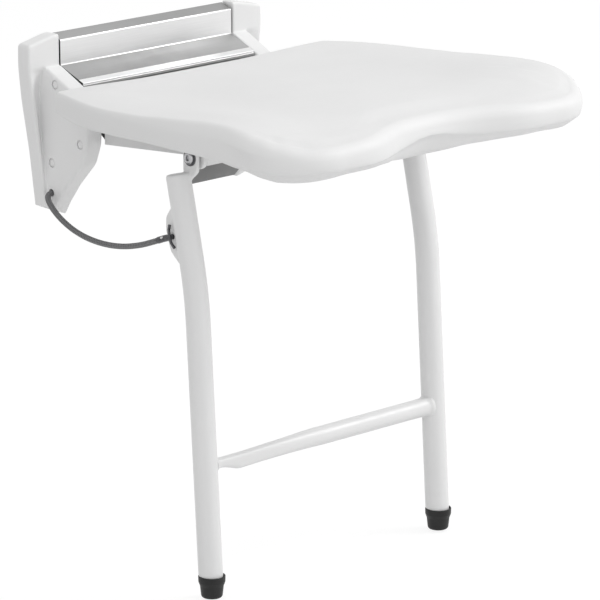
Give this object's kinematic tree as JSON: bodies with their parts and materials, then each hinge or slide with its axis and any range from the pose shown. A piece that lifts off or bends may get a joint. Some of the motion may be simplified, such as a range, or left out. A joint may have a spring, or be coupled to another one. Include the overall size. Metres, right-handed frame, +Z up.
{
  "type": "fold down wall seat",
  "caption": "Wall-mounted folding seat: contoured seat with a front cut-out, hinged on a wall rail, with a swinging two-leg support frame and a pull cord.",
  "frame": {"origin": "centre of the four wall screw holes, on the wall plane", "axes": "+Z up, +Y into the wall, +X across the seat; the seat reaches out along -Y"},
  "size_m": [0.4622, 0.4657, 0.5344],
  "materials": {
    "rail_aluminium": "brushed and anodised, satin",
    "cover_white": "smooth moulded, satin",
    "zinc_steel": "zinc plated",
    "bolt_steel": "dark plated",
    "foot_black": "matt",
    "seat_white": "fine satin",
    "beam_grey": "grey powder coat",
    "arm_dark": "dark powder coat",
    "leg_white": "smooth white powder coat",
    "cord_grey": "braided"
  },
  "bodies": {
    "wall_bracket": {"wall_rail": "rail_aluminium", "hinge_rail": "rail_aluminium", "end_cover_left": "cover_white", "end_cover_right": "cover_white", "side_bracket_left": "zinc_steel", "side_bracket_right": "zinc_steel", "screw_plugs_left": "cover_white", "screw_plugs_right": "cover_white", "hinge_pins": "bolt_steel", "cover_screws": "zinc_steel", "cord_stopper": "foot_black"},
    "seat": {"seat_shell": "seat_white", "seat_underside": "seat_white", "underside_screws": "zinc_steel", "cross_beam": "beam_grey", "seat_arm_left": "arm_dark", "seat_arm_right": "arm_dark", "leg_bracket_left": "leg_white", "leg_bracket_right": "leg_white", "hinge_bushes": "foot_black", "leg_bolts": "bolt_steel", "leg_washers": "bolt_steel", "leg_nuts": "bolt_steel"},
    "leg_frame": {"leg_left": "leg_white", "leg_right": "leg_white", "leg_ear_left": "leg_white", "leg_ear_right": "leg_white", "foot_left": "foot_black", "foot_right": "foot_black", "crossbar": "leg_white", "cord_lug": "leg_white", "cord_toggle": "bolt_steel", "cord_sleeve": "bolt_steel"},
    "cord": {"pull_cord": "cord_grey"}
  },
  "joints": [
    {"name": "seat_fold", "type": "hinge", "parent": "wall_bracket", "child": "seat", "pos_m": [0, -0.06, 0.03], "axis": [-1, 0, 0], "range_deg": [0, 90]},
    {"name": "leg_fold", "type": "hinge", "parent": "seat", "child": "leg_frame", "pos_m": [0, -0.252, 0.009], "axis": [-1, 0, 0], "range_deg": [-90, 0]},
    {"name": "cord_swing", "type": "hinge", "parent": "wall_bracket", "child": "cord", "pos_m": [-0.16, -0.032, -0.0556], "axis": [-1, 0, 0], "range_deg": [0, 90], "deforming": ["pull_cord"]}
  ],
  "couplings": [
    {"joint": "leg_fold", "follows": "seat_fold", "ratio": -1},
    {"joint": "cord_swing", "follows": "seat_fold", "ratio": 1}
  ]
}
